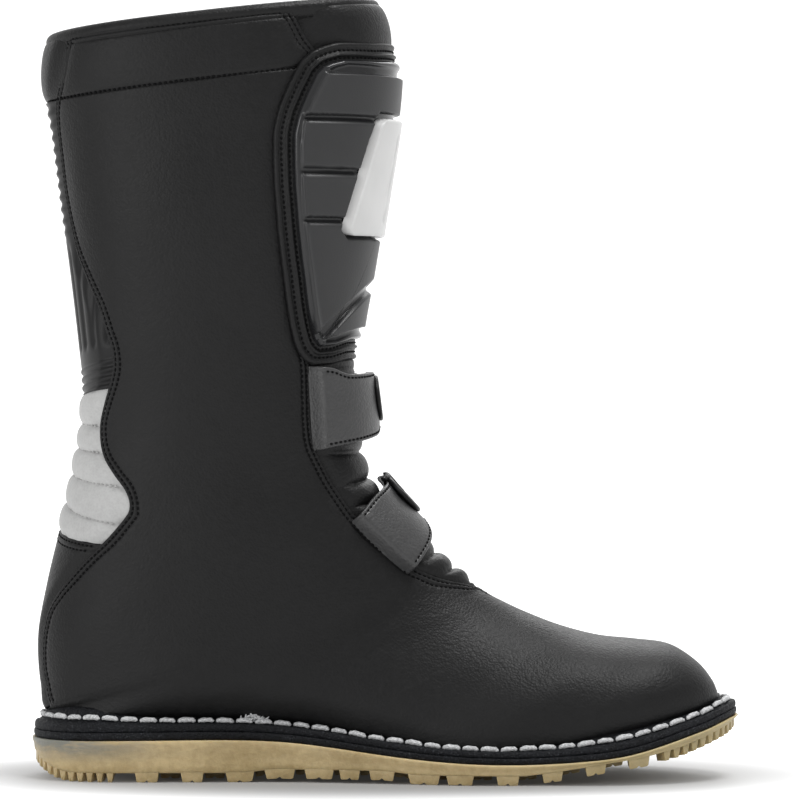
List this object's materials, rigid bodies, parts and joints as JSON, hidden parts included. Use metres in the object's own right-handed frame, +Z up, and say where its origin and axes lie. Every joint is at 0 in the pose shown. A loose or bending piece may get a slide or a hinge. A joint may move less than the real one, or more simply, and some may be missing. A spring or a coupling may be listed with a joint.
{
  "type": "motorcycle trials boot",
  "caption": "Tall left leather trials riding boot with hinged shin flap, ladder straps with lever buckles, quilted ankle bellows, stitched welt and lugged gum sole",
  "frame": {"origin": "on the ground, under the middle of the boot's bounding box", "axes": "+X to the toe, +Y to the outer (lateral) side, +Z up"},
  "size_m": [0.3096, 0.1096, 0.3384],
  "materials": {
    "black_leather": "fine-grained satin full-grain leather, black",
    "white_leather": "fine-grained satin leather, white, quilted",
    "gum_rubber": "translucent natural gum rubber, matte",
    "black_rubber": "trimmed black rubber with a rough buffed edge",
    "black_plastic": "moulded black thermoplastic, fine matte texture",
    "white_plastic": "moulded white plastic, smooth satin",
    "textile": "dark woven lining over foam",
    "fibreboard": "pressed fibre board",
    "steel": "brushed spring steel",
    "aluminium": "die-cast aluminium, satin"
  },
  "bodies": {
    "foot": {"outsole": "gum_rubber", "midsole": "black_rubber", "welt": "black_rubber", "insole_board": "fibreboard", "shank": "steel", "footbed": "textile", "foot_lining": "textile", "vamp": "black_leather", "medial_quarter": "black_leather", "lateral_quarter": "black_leather", "heel_counter": "black_leather", "heel_stiffener": "fibreboard", "toe_puff": "fibreboard", "instep_bellows": "black_leather", "achilles_bellows": "white_leather", "lower_strap": "black_leather", "lower_strap_disc": "black_plastic", "lower_buckle_base": "steel", "lower_base_rivet_1": "steel", "lower_base_rivet_2": "steel"},
    "shaft": {"medial_shaft": "black_leather", "lateral_shaft": "black_leather", "calf_plate": "black_plastic", "rear_collar_pad": "black_leather", "collar_foam": "textile", "shaft_lining": "textile", "tongue": "black_leather", "front_collar_pad": "black_leather", "loop_tape": "textile", "upper_strap": "black_leather", "upper_strap_disc": "black_plastic", "upper_buckle_base": "steel", "upper_base_rivet_1": "steel", "upper_base_rivet_2": "steel"},
    "shin_flap": {"flap_leather": "black_leather", "flap_binding": "black_leather", "shin_plate": "black_plastic", "shin_badge": "white_plastic", "hook_tape": "textile"},
    "upper_latch": {"upper_ladder": "black_plastic", "upper_buckle_frame": "black_plastic", "upper_buckle_pin": "steel"},
    "upper_lever": {"upper_buckle_lever": "aluminium"},
    "lower_latch": {"lower_ladder": "black_plastic", "lower_buckle_frame": "black_plastic", "lower_buckle_pin": "steel"},
    "lower_lever": {"lower_buckle_lever": "aluminium"}
  },
  "joints": [
    {"name": "ankle_flex", "type": "hinge", "parent": "foot", "child": "shaft", "pos_m": [-0.0789, -0.00279, 0.103], "axis": [0, 1, 0], "range_deg": [-5, 12], "stiffness_Nm_per_rad": 8, "deforming": ["instep_bellows", "achilles_bellows"]},
    {"name": "shin_flap_open", "type": "hinge", "parent": "shaft", "child": "shin_flap", "pos_m": [-0.04598, -0.0501, 0.23526], "axis": [0.0969, 0.1054, -0.9897], "range_deg": [0, 80]},
    {"name": "upper_strap_open", "type": "hinge", "parent": "shaft", "child": "upper_latch", "pos_m": [-0.00906, 0.01201, 0.16773], "axis": [0.0412, 0.2299, -0.9723], "range_deg": [0, 50]},
    {"name": "upper_lever_open", "type": "hinge", "parent": "upper_latch", "child": "upper_lever", "pos_m": [-0.0507, 0.04816, 0.17394], "axis": [-0.1247, -0.0776, -0.9892], "range_deg": [0, 110]},
    {"name": "lower_strap_open", "type": "hinge", "parent": "foot", "child": "lower_latch", "pos_m": [0.00729, 0.01035, 0.11647], "axis": [0.7437, -0.2795, -0.6072], "range_deg": [0, 50]},
    {"name": "lower_lever_open", "type": "hinge", "parent": "lower_latch", "child": "lower_lever", "pos_m": [-0.02478, 0.04271, 0.08629], "axis": [0.5349, -0.0716, -0.8419], "range_deg": [0, 110]}
  ]
}
